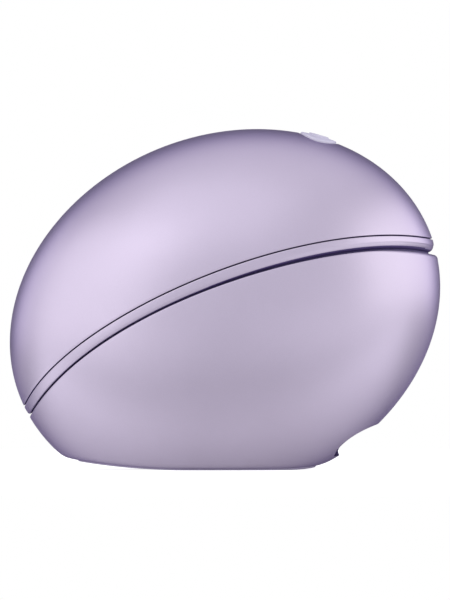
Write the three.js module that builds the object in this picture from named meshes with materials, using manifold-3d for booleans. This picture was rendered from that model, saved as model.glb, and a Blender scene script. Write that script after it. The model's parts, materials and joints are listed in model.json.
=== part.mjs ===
// Pulsed-light epilator: an egg-shaped hand piece that stands on its flat treatment head.
// Millimetres, +Z up. Origin: under the middle of the egg, on the surface it stands on.
// +X points to the rear of the egg, where the power inlet is. Y is the symmetric direction.
import * as THREE from "three";
import { mergeVertices } from "three/addons/utils/BufferGeometryUtils.js";
import Module from "manifold-3d";

const wasm = await Module();
wasm.setup();

// ---------------------------------------------------------------- driving dimensions
const EGG = { a: 48.8, w: 30, b: 39.5, tilt: THREE.MathUtils.degToRad(22.6), centreZ: 34.2 };
const WALL = { upper: 2.0, lower: 2.2 };
const EGG_DETAIL = { outer: 6, inner: 4 }; // subdivisions of the ball that each egg is made from

// The seam under the upper shell, as one arch in the egg's own long-axis and short-axis plane.
const SEAM = new THREE.CubicBezierCurve(
  new THREE.Vector2(-47.9, -0.9),
  new THREE.Vector2(-31.4, 12.7),
  new THREE.Vector2(24.2, 13.9),
  new THREE.Vector2(49.3, -2.5),
);
const SEAM_GAP = 0.3; // fine gap between the upper shell and the band
const BAND = { skirt: 2.3, depth: 1.4, ledge: 1.3, ledgeDepth: 5 };
const GROOVE = 0.75; // shadow gap under the band, which is also the air intake
const TONGUE = { outer: 1.7, inner: 2.9, top: 1.6 };

// The standing face: flat in the middle, rising gently to both ends.
const BASE = { flatFrom: -8, flatTo: 14, leftRadius: 161, rightRadius: 35, floor: 4.0 };
const BEZEL = { centreX: -6.2, halfX: 26.3, halfY: 15.5, proud: 0.25, thick: 1.5 };
const WINDOW = { x: 30, y: 13, corner: 3 };
const GLASS = { x: 33.4, y: 16.4, z: 1.8, thick: 1.8 };

// The button and the switch under it, along the egg's outward normal at the button.
const BUTTON = { angle: THREE.MathUtils.degToRad(45.6), halfX: 4.1, halfY: 6.2, proud: 0.35, play: 0.25 };
const FLANGE = { halfX: 5.2, halfY: 7.4, bottom: -5.4, top: -4.5 };
const BUTTON_BOARD = { x: 20, y: 13, bottom: -12.1, top: -10.9, screwX: 7.6 };
const PLUNGER = { radius: 1.4, bottom: -8.6, top: -6.7 };

// The power inlet, in a shallow scoop in the rear underside. Its mouth faces down and back.
const INLET = { x: 29.2, z: 7.3, tilt: THREE.MathUtils.degToRad(146.6) };
const SOCKET = { channel: 3.7, mouth: -3.5, back: -14.2, bore: 3.1, pin: 1.0 };

// A finger notch behind the lip of the inlet's scoop, at both sides, as corners in the X-Z plane.
const LIP_NOTCH = [[24.75, 4.6], [24.0, 2.95], [25.8, 3.2]];

// The light head over the window, in heights above the standing face.
const LAMP = { z: 9.3, radius: 2.2, bore: 1.6, half: 20 };
const HOUSING = { x: 33, y: 20, wall: 1.2, bottom: 5.0, top: 13.4 };
const SINK = { y: 24.6, bottom: 13.7, base: 15.3, top: 18.6 };
const FAN = { size: 25, bottom: 18.9, top: 24.9, bore: 11.3, hub: 4.2, screw: 10.2 };
const SENSOR = { x: 22.6, radius: 1.5 };

// The electronics over the chassis, in heights along the egg's short axis.
const BOARD = { x: 52, y: 34, corner: 5, bottom: 3.3, top: 4.9, screwX: 22, screwY: 13 };
const CAPACITOR = { radius: 10, length: 38, x: -7, lift: 0.4 };

// Screws: CLAMP joins chassis, band and upper shell; LEG joins the lower shell to the chassis legs.
const CLAMP = { x: 31, y: 17, chassisTop: 2, earBottom: 2.4, holeTop: 12 };
const LEG = { x: 19.2, y: 8.8, radius: 2.4, holeDepth: 8 };
const CLAMP_SCREW = { headRadius: 1.9, head: 1.3, radius: 1.0, length: 10.5 };
const CASE_SCREW = { headRadius: 1.8, head: 1.0, radius: 0.9, length: 8.6 };
const BOARD_SCREW = { headRadius: 1.7, head: 1.1, radius: 0.9, length: 4.4 };
const FAN_SCREW = { headRadius: 1.6, head: 1.0, radius: 0.8, length: 11.2 };
const BUTTON_SCREW = { headRadius: 1.5, head: 0.9, radius: 0.7, length: 5.4 };
const GAP = 0.3; // clearance between pieces that touch, and round every screw

// Insulated wires, each along one smooth curve in the object's frame.
const LEADS = {
  power_lead: [[19.9, 0, 21.5], [19.6, 0, 25], [22.5, 0, 34], [25.0, 0, 42], [24.8, 0, 47.4]],
  anode_lead: [[16.9, 0, 9.3], [17.6, 4, 11], [17.4, 6.4, 16], [16.5, 5, 23], [9, 3, 32], [4.5, 3, 36.6]],
  cathode_lead: [[-29.4, 0, 9.3], [-32, 0, 10.4], [-34, 0, 15], [-34.5, 0, 21], [-31, 0, 28], [-28, 0, 30]],
};

// ---------------------------------------------------------------- materials
const finish = (color, roughness, metalness = 0, opacity = 1) =>
  new THREE.MeshStandardMaterial({ color, roughness, metalness, opacity, transparent: opacity < 1 });
const MATERIALS = {
  lilac: finish(0xc4b9d6, 0.38, 0.6),
  silicone: finish(0xcfcbe0, 0.6),
  bezel: finish(0xb9afc9, 0.3, 0.9),
  glass: finish(0xe8d9a0, 0.05, 0, 0.4),
  quartz: finish(0xf2f6fa, 0.05, 0, 0.4),
  mirror: finish(0xe6e8ea, 0.12, 1),
  aluminium: finish(0xb8bcc0, 0.4, 1),
  steel: finish(0x9fa3a8, 0.35, 1),
  brass: finish(0xc9a35a, 0.35, 1),
  black: finish(0x1d1d21, 0.55),
  white: finish(0xe4e1da, 0.6),
  board: finish(0x1e4d38, 0.5),
  ferrite: finish(0x3a3838, 0.7),
  sleeve: finish(0x272b52, 0.45),
  rubber: finish(0x3c3943, 0.8),
  lead: finish(0xa03030, 0.5),
};

// ---------------------------------------------------------------- solids
function solid(geometry) {
  const bare = geometry.index ? geometry.toNonIndexed() : geometry.clone();
  bare.deleteAttribute("normal");
  bare.deleteAttribute("uv");
  const merged = mergeVertices(bare, 1e-4);
  return new wasm.Manifold(
    new wasm.Mesh({
      numProp: 3,
      vertProperties: merged.attributes.position.array,
      triVerts: new Uint32Array(merged.index.array),
    }),
  );
}

function geometryOf(made) {
  const mesh = made.getMesh();
  const indexed = new THREE.BufferGeometry();
  indexed.setAttribute("position", new THREE.BufferAttribute(mesh.vertProperties, mesh.numProp));
  indexed.setIndex(new THREE.BufferAttribute(mesh.triVerts, 1));
  const flat = indexed.toNonIndexed();
  flat.computeVertexNormals();
  return flat;
}

const union = (...solids) => solids.reduce((all, next) => all.add(next));

function node(name, shape, material, parent) {
  const geometry = shape.isBufferGeometry ? shape : geometryOf(shape);
  const mesh = new THREE.Mesh(geometry, material);
  mesh.name = name;
  parent.add(mesh);
  return mesh;
}

// ---------------------------------------------------------------- basic geometry
// A prism whose outline lies in the X-Z plane, centred on Y = 0.
function prismAlongY(shape, width, curveSegments = 10) {
  return new THREE.ExtrudeGeometry(shape, { depth: width, bevelEnabled: false, curveSegments })
    .rotateX(Math.PI / 2)
    .translate(0, width / 2, 0);
}

// A prism whose outline lies in the X-Y plane, from low to high in Z.
function prismAlongZ(shape, low, high, curveSegments = 10) {
  const depth = high - low;
  return new THREE.ExtrudeGeometry(shape, { depth, bevelEnabled: false, curveSegments })
    .translate(0, 0, low);
}

// A prism whose outline lies in the Y-Z plane, centred on X = 0.
function prismAlongX(shape, length, curveSegments = 10) {
  return new THREE.ExtrudeGeometry(shape, { depth: length, bevelEnabled: false, curveSegments })
    .rotateX(Math.PI / 2)
    .rotateZ(Math.PI / 2)
    .translate(-length / 2, 0, 0);
}

function box(x, y, low, high) {
  return new THREE.BoxGeometry(x, y, high - low).translate(0, 0, (low + high) / 2);
}

function cylinder(radius, low, high, sides = 16) {
  return new THREE.CylinderGeometry(radius, radius, high - low, sides)
    .rotateX(Math.PI / 2)
    .translate(0, 0, (low + high) / 2);
}

function ellipse(halfX, halfY) {
  const shape = new THREE.Shape();
  shape.absellipse(0, 0, halfX, halfY, 0, 2 * Math.PI, false, 0);
  return shape;
}

function roundedRectangle(x, y, corner) {
  const shape = new THREE.Shape();
  const [hx, hy, quarter] = [x / 2 - corner, y / 2 - corner, Math.PI / 2];
  shape.absarc(hx, hy, corner, 0, quarter, false);
  shape.absarc(-hx, hy, corner, quarter, 2 * quarter, false);
  shape.absarc(-hx, -hy, corner, 2 * quarter, 3 * quarter, false);
  shape.absarc(hx, -hy, corner, 3 * quarter, 4 * quarter, false);
  shape.closePath();
  return shape;
}

// A pan-head screw on the Z axis: head from 0 down to -head, shaft up to length.
function screw({ headRadius, head, radius, length }) {
  const tip = 0.6 * radius;
  const profile = [
    [0, -head], [headRadius * 0.75, -head], [headRadius, -head * 0.5], [headRadius, 0],
    [radius, 0], [radius, length - tip], [0, length],
  ];
  return new THREE.LatheGeometry(profile.map(([r, z]) => new THREE.Vector2(r, z)), 8).rotateX(Math.PI / 2);
}

function ring(innerRadius, outerRadius, low, high, sides = 16) {
  const points = [
    [innerRadius, low], [outerRadius, low], [outerRadius, high], [innerRadius, high], [innerRadius, low],
  ].map(([r, z]) => new THREE.Vector2(r, z));
  return new THREE.LatheGeometry(points, sides).rotateX(Math.PI / 2);
}

// ---------------------------------------------------------------- frames
const epilator = new THREE.Group();

const eggFrame = new THREE.Group(); // X along the egg's long axis, Z along its short axis
eggFrame.position.z = EGG.centreZ;
eggFrame.rotation.y = -EGG.tilt;
epilator.add(eggFrame);

const headFrame = new THREE.Group(); // upright, over the middle of the treatment window
headFrame.position.x = BEZEL.centreX;
epilator.add(headFrame);

const buttonFrame = new THREE.Group(); // Z is the outward normal of the egg at the button
buttonFrame.position.set(EGG.a * Math.cos(BUTTON.angle), 0, EGG.b * Math.sin(BUTTON.angle));
buttonFrame.rotation.y = Math.atan2(
  Math.cos(BUTTON.angle) / EGG.a,
  Math.sin(BUTTON.angle) / EGG.b,
);
eggFrame.add(buttonFrame);

const inletFrame = new THREE.Group(); // Z points out of the power inlet
inletFrame.position.set(INLET.x, 0, INLET.z);
inletFrame.rotation.y = INLET.tilt;
epilator.add(inletFrame);

epilator.updateMatrixWorld(true);

// Geometry given in one frame, rewritten in another.
function moved(geometry, from, to) {
  const matrix = to.matrixWorld.clone().invert().multiply(from.matrixWorld);
  return geometry.applyMatrix4(matrix);
}

// The same, made solid and rewritten in the egg's frame.
const inObjectFrame = (geometry) => solid(moved(geometry, epilator, eggFrame));
const inHeadFrame = (geometry) => solid(moved(geometry, headFrame, eggFrame));
const inButtonFrame = (geometry) => solid(moved(geometry, buttonFrame, eggFrame));
const inInletFrame = (geometry) => solid(moved(geometry, inletFrame, eggFrame));

const CORNERS = [[1, 1], [-1, 1], [-1, -1], [1, -1]];
const atCorners = (x, y, make) => CORNERS.map(([sideX, sideY], i) => make(sideX * x, sideY * y, i + 1));
const bothEnds = (make) => [-1, 1].map((side, i) => make(side * BUTTON_BOARD.screwX, i + 1));

// ---------------------------------------------------------------- the egg and its cutters
function egg(inset, detail = EGG_DETAIL.outer) {
  const sphere = new THREE.IcosahedronGeometry(1, detail);
  return solid(sphere.scale(EGG.a - inset, EGG.w - inset, EGG.b - inset));
}

const CUTTER = { reach: 70, width: 70, steps: 16 };

// Everything under the seam lowered by drop, in the egg frame.
function underSeam(drop) {
  const line = [];
  for (let i = 0; i <= CUTTER.steps; i++) {
    const t = i / CUTTER.steps;
    const tangent = SEAM.getTangent(t);
    const point = SEAM.getPoint(t);
    line.push(new THREE.Vector2(point.x + tangent.y * drop, point.y - tangent.x * drop));
  }
  const first = line[0].clone().sub(SEAM.getTangent(0).multiplyScalar(8));
  const last = line[line.length - 1].clone().add(SEAM.getTangent(1).multiplyScalar(8));
  const corners = [new THREE.Vector2(last.x, -CUTTER.reach), new THREE.Vector2(first.x, -CUTTER.reach)];
  return solid(prismAlongY(new THREE.Shape([...corners, first, ...line, last].reverse()), CUTTER.width));
}

const seamSlab = (top, bottom) => underSeam(top).subtract(underSeam(bottom));

// Height of the standing face's profile over X.
function baseHeight(x) {
  if (x < BASE.flatFrom) return (x - BASE.flatFrom) ** 2 / (2 * BASE.leftRadius);
  if (x > BASE.flatTo) return (x - BASE.flatTo) ** 2 / (2 * BASE.rightRadius);
  return 0;
}

// Everything under the standing face raised by rise, in the object's frame.
function underBase(rise) {
  const [left, right] = [-44, 32];
  const shape = new THREE.Shape();
  shape.moveTo(left, -20);
  shape.lineTo(right, -20);
  shape.lineTo(right, baseHeight(right) + rise);
  shape.quadraticCurveTo((right + BASE.flatTo) / 2, rise, BASE.flatTo, rise);
  shape.lineTo(BASE.flatFrom, rise);
  shape.quadraticCurveTo((left + BASE.flatFrom) / 2, rise, left, baseHeight(left) + rise);
  shape.closePath();
  return prismAlongY(shape, CUTTER.width, 8);
}

const underBaseInEgg = (rise) => inObjectFrame(underBase(rise));

// ---------------------------------------------------------------- shells
function upperShell() {
  const hollow = egg(0).subtract(egg(WALL.upper, EGG_DETAIL.inner));
  const bosses = atCorners(CLAMP.x, CLAMP.y, (x, y) => solid(cylinder(2.7, 0, 30).translate(x, y, 0)));
  const posts = bothEnds((x) => inButtonFrame(cylinder(1.8, BUTTON_BOARD.top + GAP, 0).translate(x, 0, 0)));
  const inside = union(...bosses, ...posts).intersect(egg(1, EGG_DETAIL.inner));
  const clampHoles = atCorners(CLAMP.x, CLAMP.y, (x, y) =>
    solid(cylinder(CLAMP_SCREW.radius + GAP, -5, CLAMP.holeTop, 10).translate(x, y, 0)),
  );
  const postHoles = bothEnds((x) => inButtonFrame(cylinder(1.0, -14, -5.5, 10).translate(x, 0, 0)));
  const opening = ellipse(BUTTON.halfX + BUTTON.play, BUTTON.halfY + BUTTON.play);
  const buttonHole = inButtonFrame(prismAlongZ(opening, -8, 4, 12));
  return union(hollow, inside)
    .subtract(underSeam(-SEAM_GAP / 2))
    .subtract(union(...clampHoles, ...postHoles, buttonHole));
}

function trimBand() {
  const ringPart = egg(0).subtract(egg(BAND.ledgeDepth, EGG_DETAIL.inner));
  const band = ringPart
    .intersect(seamSlab(SEAM_GAP / 2, BAND.skirt))
    .subtract(egg(BAND.depth, EGG_DETAIL.inner).intersect(seamSlab(BAND.ledge, 8)));
  const ears = atCorners(CLAMP.x, CLAMP.y, (x, y) =>
    solid(cylinder(3.2, CLAMP.earBottom, 12, 16).translate(x, y, 0)),
  );
  const holes = atCorners(CLAMP.x, CLAMP.y, (x, y) =>
    solid(cylinder(CLAMP_SCREW.radius + GAP, -5, 20, 10).translate(x, y, 0)),
  );
  const trimmedEars = union(...ears)
    .intersect(underSeam(SEAM_GAP / 2))
    .intersect(egg(3.3, EGG_DETAIL.inner));
  return band.add(trimmedEars).subtract(union(...holes));
}

// The scoop in the rear underside: a shallow hollow that ends in a steep lip.
function scoopShape() {
  const shape = new THREE.Shape();
  shape.moveTo(34.0, 10.15);
  shape.quadraticCurveTo(28.3, 8.2, 25.35, 5.1);
  shape.quadraticCurveTo(24.6, 4.3, 25.3, 3.1);
  shape.lineTo(40, -8);
  shape.lineTo(46, 6);
  shape.closePath();
  return shape;
}

function lowerShell() {
  const grooveBottom = BAND.skirt + GROOVE;
  const outer = egg(0).intersect(underSeam(grooveBottom)).subtract(underBaseInEgg(BEZEL.proud));
  const cavity = egg(WALL.lower, EGG_DETAIL.inner).subtract(underBaseInEgg(BASE.floor));
  const tongue = egg(TONGUE.outer, EGG_DETAIL.inner)
    .subtract(egg(TONGUE.inner, EGG_DETAIL.inner))
    .intersect(seamSlab(TONGUE.top, grooveBottom + 1.6));
  const inletPad = inInletFrame(box(14, 15, SOCKET.mouth + GAP, 8)).intersect(egg(0.2));
  const walls = union(outer.subtract(cavity), tongue, inletPad).subtract(underBaseInEgg(BEZEL.proud));

  const plateOutline = ellipse(BEZEL.halfX + GAP, BEZEL.halfY + GAP);
  const recess = inHeadFrame(prismAlongZ(plateOutline, -5, 10, 16))
    .intersect(underBaseInEgg(BEZEL.thick + GAP));
  const lampOutline = roundedRectangle(GLASS.x + 1.2, GLASS.y + 1.2, 0.8);
  const lampOpening = inHeadFrame(prismAlongZ(lampOutline, -5, 9, 3));
  const screwHoles = atCorners(LEG.x, LEG.y, (x, y) => {
    const seat = baseHeight(BEZEL.centreX + x) + 3.1;
    const hole = cylinder(CASE_SCREW.radius + GAP, -1, 9, 10).translate(x, y, 0);
    const counterbore = cylinder(CASE_SCREW.headRadius + 0.4, -1, seat, 12).translate(x, y, 0);
    return inHeadFrame(hole).add(inHeadFrame(counterbore));
  });
  const sensorHole = inHeadFrame(cylinder(SENSOR.radius + GAP, -1, 9, 12).translate(SENSOR.x, 0, 0));
  const scoop = inObjectFrame(prismAlongY(scoopShape(), CUTTER.width, 5));
  const notchOutline = new THREE.Shape(LIP_NOTCH.map(([x, z]) => new THREE.Vector2(x, z)));
  const notches = [-14.3, 14.3].map((y) => inObjectFrame(prismAlongY(notchOutline, 25).translate(0, y, 0)));
  const channel = inInletFrame(cylinder(SOCKET.channel, -8, 6, 24));
  return walls.subtract(union(recess, lampOpening, ...screwHoles, sensorHole, scoop, ...notches, channel));
}

// ---------------------------------------------------------------- chassis and electronics
function chassis() {
  const plate = prismAlongZ(roundedRectangle(64, 38, 4), 0, CLAMP.chassisTop, 5);
  const ears = atCorners(CLAMP.x, CLAMP.y, (x, y) =>
    solid(cylinder(3.2, 0, CLAMP.chassisTop, 12).translate(x, y, 0)),
  );
  const standoffs = atCorners(BOARD.screwX, BOARD.screwY, (x, y) =>
    solid(cylinder(2.4, 0, BOARD.bottom - GAP, 12).translate(x, y, 0)),
  );
  const footOf = (x) => BASE.floor + baseHeight(BEZEL.centreX + x) + 2 * GAP;
  const legs = atCorners(LEG.x, LEG.y, (x, y) =>
    inHeadFrame(cylinder(LEG.radius, footOf(x), 60, 12).translate(x, y, 0)),
  );
  const belowTop = solid(box(120, 80, -60, CLAMP.chassisTop - 0.1));
  const airway = solid(prismAlongZ(roundedRectangle(26, 22, 4), -1, 6, 5).translate(-6, 0, 0));
  const leadNotch = solid(box(8, 6, -1, 6).translate(29.5, 0, 0));
  const legHoles = atCorners(LEG.x, LEG.y, (x, y) => {
    const bore = cylinder(CASE_SCREW.radius + GAP, footOf(x) - 1, footOf(x) + LEG.holeDepth, 10);
    return inHeadFrame(bore.translate(x, y, 0));
  });
  const clampHoles = atCorners(CLAMP.x, CLAMP.y, (x, y) =>
    solid(cylinder(CLAMP_SCREW.radius + GAP, -2, 6, 10).translate(x, y, 0)),
  );
  const boardHoles = atCorners(BOARD.screwX, BOARD.screwY, (x, y) =>
    solid(cylinder(BOARD_SCREW.radius + GAP, 0.4, 6, 10).translate(x, y, 0)),
  );
  const frame = union(solid(plate), ...ears, ...standoffs)
    .intersect(egg(3.5, EGG_DETAIL.inner))
    .subtract(union(airway, leadNotch));
  return frame
    .add(union(...legs).intersect(belowTop))
    .subtract(union(...legHoles, ...clampHoles, ...boardHoles));
}

function mainBoard() {
  const outline = roundedRectangle(BOARD.x, BOARD.y, BOARD.corner);
  const plate = solid(prismAlongZ(outline, BOARD.bottom, BOARD.top, 4));
  const holes = atCorners(BOARD.screwX, BOARD.screwY, (x, y) =>
    solid(cylinder(BOARD_SCREW.radius + GAP, 0, 8, 10).translate(x, y, 0)),
  );
  return plate.subtract(union(...holes));
}

// A photoflash capacitor lying on the board: can with a crimped neck and a rubber plug end.
function capacitor() {
  const { radius, length } = CAPACITOR;
  const neck = length - 4;
  const points = [
    [0, 0], [radius - 0.8, 0], [radius, 0.8], [radius, neck], [radius - 1, neck + 0.8],
    [radius - 1, neck + 1.4], [radius, neck + 2.2], [radius, length - 0.5], [radius - 0.5, length],
    [radius - 1.6, length], [radius - 1.6, length - 0.6], [0, length - 0.6],
  ].map(([r, z]) => new THREE.Vector2(r, z));
  return new THREE.LatheGeometry(points, 20)
    .translate(0, -length / 2, 0)
    .rotateZ(-Math.PI / 2)
    .translate(CAPACITOR.x, 0, BOARD.top + CAPACITOR.lift + radius);
}

function transformer() {
  const core = solid(box(13, 9, 0, 10));
  const bobbin = solid(prismAlongZ(roundedRectangle(10, 15, 3), 1.6, 8.4, 4));
  return core.add(bobbin).translate([20, 0, BOARD.top + 0.4]);
}

function triggerCoil() {
  const points = [[0, 0], [3, 0], [3, 1.4], [2.4, 1.7], [2.4, 8.3], [3, 8.6], [3, 10], [0, 10]]
    .map(([r, z]) => new THREE.Vector2(r, z));
  return new THREE.LatheGeometry(points, 16)
    .rotateZ(-Math.PI / 2)
    .translate(0, 13.4, BOARD.top + 3.4);
}

function flashSwitch() {
  const body = solid(box(10, 4.4, 0.4, 9).translate(7, -13.4, BOARD.top));
  const tab = solid(box(10, 1.3, 9, 13).translate(7, -14.9, BOARD.top));
  const hole = solid(cylinder(1.6, -4, 4, 16).rotateX(Math.PI / 2).translate(7, -14.9, BOARD.top + 11));
  return body.add(tab).subtract(hole);
}

function controlChip() {
  return box(7, 6.4, BOARD.top + GAP, BOARD.top + 1.6).translate(-9, -13.4, 0);
}

// ---------------------------------------------------------------- treatment head
function treatmentBezel() {
  const plate = solid(prismAlongZ(ellipse(BEZEL.halfX, BEZEL.halfY), -2, 8, 20));
  const top = solid(moved(underBase(BEZEL.thick), epilator, headFrame));
  const bottom = solid(moved(underBase(0), epilator, headFrame));
  const opening = solid(prismAlongZ(roundedRectangle(WINDOW.x, WINDOW.y, WINDOW.corner), -3, 9, 5));
  const seat = solid(box(GLASS.x + 0.8, GLASS.y + 0.8, BEZEL.thick, 9));
  const sensorHole = solid(cylinder(SENSOR.radius + GAP, -3, 9, 16).translate(SENSOR.x, 0, 0));
  return plate.intersect(top).subtract(bottom).subtract(union(opening, seat, sensorHole));
}

function windowGasket() {
  const outer = solid(prismAlongZ(roundedRectangle(GLASS.x, GLASS.y, 2), 3.9, 4.6, 4));
  const inner = solid(prismAlongZ(roundedRectangle(30.6, 13.6, 2), 3, 6, 4));
  return outer.subtract(inner);
}

// A trough of thin sheet that opens down, parabolic in section.
function reflector() {
  const { bottom, top } = HOUSING;
  const [mouth, depth, sheet, steps] = [7.4, top - bottom - 1.1, 0.7, 10];
  const height = (y) => bottom + 0.2 + depth * (1 - (y / mouth) ** 2);
  const inside = [];
  for (let i = 0; i <= steps; i++) {
    const y = -mouth + (2 * mouth * i) / steps;
    inside.push(new THREE.Vector2(y, height(y)));
  }
  const outside = inside.map(({ x: y, y: z }) =>
    new THREE.Vector2(y * (1 + sheet / mouth), z + sheet * (1 - Math.abs(y / mouth))),
  );
  outside.reverse();
  return prismAlongX(new THREE.Shape([...inside, ...outside]), 30);
}

function lampHousing() {
  const { x, y, wall, bottom, top } = HOUSING;
  const outer = solid(box(x, y, bottom, top));
  const inner = solid(box(x - 2 * wall, y - 2 * wall, bottom - 1, top + 1));
  const lampHole = cylinder(LAMP.radius + 0.4, -30, 30).rotateY(Math.PI / 2).translate(0, 0, LAMP.z);
  return outer.subtract(inner).subtract(solid(lampHole));
}

function flashLamp() {
  const tube = ring(LAMP.bore, LAMP.radius, -LAMP.half, LAMP.half);
  return tube.rotateY(Math.PI / 2).translate(0, 0, LAMP.z);
}

// An electrode: a fat sintered tip inside the tube and a thin pin through its end.
function electrode(side) {
  const points = [[0, 0], [1.0, 0], [1.2, 0.4], [1.2, 4], [0.5, 4.6], [0.5, 9.2], [0, 9.2]]
    .map(([r, z]) => new THREE.Vector2(r, z));
  return new THREE.LatheGeometry(points, 12)
    .rotateZ(-side * Math.PI / 2)
    .translate(side * (LAMP.half - 7), 0, LAMP.z);
}

function lampHolder(side) {
  const block = solid(box(4.6, 11, 6.2, 12.6).translate(side * 19.1, 0, 0));
  const bore = cylinder(LAMP.radius + GAP, -30, 30, 20).rotateY(Math.PI / 2).translate(0, 0, LAMP.z);
  return block.subtract(solid(bore));
}

function heatSink() {
  const base = solid(box(HOUSING.x, SINK.y, SINK.bottom, SINK.base));
  const fins = [-11.9, -8.4, -5.6, -2.8, 0, 2.8, 5.6, 8.4, 11.9].map((y) => {
    const thick = Math.abs(y) > 10 ? 0.8 : 1.0;
    return solid(box(HOUSING.x, thick, SINK.base - 0.2, SINK.top).translate(0, y, 0));
  });
  const holes = atCorners(FAN.screw, FAN.screw, (x, y) =>
    solid(cylinder(FAN_SCREW.radius + GAP, 13, 22, 10).translate(x, y, 0)),
  );
  return union(base, ...fins).subtract(union(...holes));
}

function thermalCutout() {
  return cylinder(1.2, -3.5, 3.5, 14).rotateX(Math.PI / 2).translate(18.2, 0, 14.9);
}

function fanFrame() {
  const block = solid(prismAlongZ(roundedRectangle(FAN.size, FAN.size, 2.2), FAN.bottom, FAN.top, 4));
  const bore = solid(cylinder(FAN.bore, FAN.bottom - 1, FAN.top + 1, 32));
  const plate = solid(cylinder(4.4, FAN.bottom, FAN.bottom + 1, 16));
  const struts = [0, 1, 2].map((i) =>
    solid(box(FAN.bore + 0.6, 1.4, FAN.bottom, FAN.bottom + 1)
      .translate((FAN.bore + 0.6) / 2, 0, 0)
      .rotateZ((i * 2 * Math.PI) / 3 + 0.3)),
  );
  const holes = atCorners(FAN.screw, FAN.screw, (x, y) =>
    solid(cylinder(FAN_SCREW.radius + GAP, FAN.bottom - 1, FAN.top + 1, 10).translate(x, y, 0)),
  );
  return union(block.subtract(bore), plate, ...struts).subtract(union(...holes));
}

function fanRotor() {
  const [low, high, blades] = [FAN.bottom + 1.4, FAN.top - 0.4, 7];
  const hub = solid(cylinder(FAN.hub, low, high, 20));
  const cup = solid(cylinder(3.4, low - 1, high - 1, 20));
  const boss = solid(cylinder(1.5, high - 1.6, high - 0.5, 16));
  const shaftHole = solid(cylinder(0.9, low - 1, high - 0.6, 16));
  const reach = FAN.bore - 0.8;
  const wings = Array.from({ length: blades }, (_, i) =>
    solid(new THREE.BoxGeometry(reach - 3.7, 0.7, 6.5)
      .translate((reach + 3.7) / 2, 0, 0)
      .rotateX(THREE.MathUtils.degToRad(50))
      .rotateZ((i * 2 * Math.PI) / blades)
      .translate(0, 0, (low + high) / 2)),
  );
  const sweep = solid(ring(3.8, reach, low + 0.2, high - 0.2, 20));
  return hub.subtract(cup).add(boss).add(union(...wings).intersect(sweep)).subtract(shaftHole);
}

function sensorBoard() {
  return box(6, 8, 5.0, 5.8).translate(SENSOR.x, 0, 0);
}

// ---------------------------------------------------------------- power inlet
function powerInlet() {
  const body = solid(box(9, 10, SOCKET.back, SOCKET.mouth));
  const bore = solid(cylinder(SOCKET.bore, SOCKET.back + 1.8, 0, 20));
  const pinHole = solid(cylinder(SOCKET.pin + GAP, SOCKET.back - 2, 0, 12));
  return body.subtract(bore).subtract(pinHole);
}

// ---------------------------------------------------------------- button
function buttonCap() {
  const cover = inButtonFrame(prismAlongZ(ellipse(BUTTON.halfX, BUTTON.halfY), FLANGE.top - 0.1, 4, 12));
  const flangeOutline = ellipse(FLANGE.halfX, FLANGE.halfY);
  const flange = inButtonFrame(prismAlongZ(flangeOutline, FLANGE.bottom, FLANGE.top, 12));
  const stem = inButtonFrame(cylinder(1.5, PLUNGER.top + GAP, FLANGE.bottom + 0.4));
  const whole = union(cover.intersect(egg(-BUTTON.proud)), flange, stem);
  return moved(geometryOf(whole), eggFrame, buttonFrame);
}

function switchPlunger() {
  return cylinder(PLUNGER.radius, PLUNGER.bottom, PLUNGER.top);
}

function tactSwitch() {
  const body = solid(box(6, 6, BUTTON_BOARD.top + GAP, PLUNGER.top - 0.6));
  const bore = solid(cylinder(PLUNGER.radius + GAP, PLUNGER.bottom - 1, PLUNGER.top + 0.7, 20));
  return body.subtract(bore);
}

function buttonBoard() {
  const { x, y, bottom, top } = BUTTON_BOARD;
  const plate = solid(prismAlongZ(roundedRectangle(x, y, 2), bottom, top, 4));
  const holes = bothEnds((at) => solid(cylinder(1.0, -14, -9, 10).translate(at, 0, 0)));
  return plate.subtract(union(...holes));
}

// ---------------------------------------------------------------- internal leads
function lead(points) {
  const path = new THREE.CatmullRomCurve3(points.map((p) => new THREE.Vector3(...p)));
  const section = new THREE.Shape();
  section.absarc(0, 0, 0.6, 0, 2 * Math.PI, false);
  return new THREE.ExtrudeGeometry(section, { extrudePath: path, steps: 10, curveSegments: 4 });
}

// ---------------------------------------------------------------- assembly
node("upper_shell", upperShell(), MATERIALS.lilac, eggFrame);
node("trim_band", trimBand(), MATERIALS.lilac, eggFrame);
node("lower_shell", lowerShell(), MATERIALS.lilac, eggFrame);
node("chassis", chassis(), MATERIALS.black, eggFrame);
node("main_board", mainBoard(), MATERIALS.board, eggFrame);
node("flash_capacitor", capacitor(), MATERIALS.sleeve, eggFrame);
node("charging_transformer", transformer(), MATERIALS.ferrite, eggFrame);
node("trigger_coil", triggerCoil(), MATERIALS.ferrite, eggFrame);
node("flash_switch", flashSwitch(), MATERIALS.black, eggFrame);
node("control_chip", controlChip(), MATERIALS.black, eggFrame);
atCorners(CLAMP.x, CLAMP.y, (x, y, i) =>
  node(`clamp_screw_${i}`, screw(CLAMP_SCREW), MATERIALS.steel, eggFrame).position.set(x, y, -GAP),
);
atCorners(BOARD.screwX, BOARD.screwY, (x, y, i) => {
  const mesh = node(`board_screw_${i}`, screw(BOARD_SCREW), MATERIALS.steel, eggFrame);
  mesh.position.set(x, y, BOARD.top + GAP);
  mesh.rotation.x = Math.PI;
});

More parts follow.
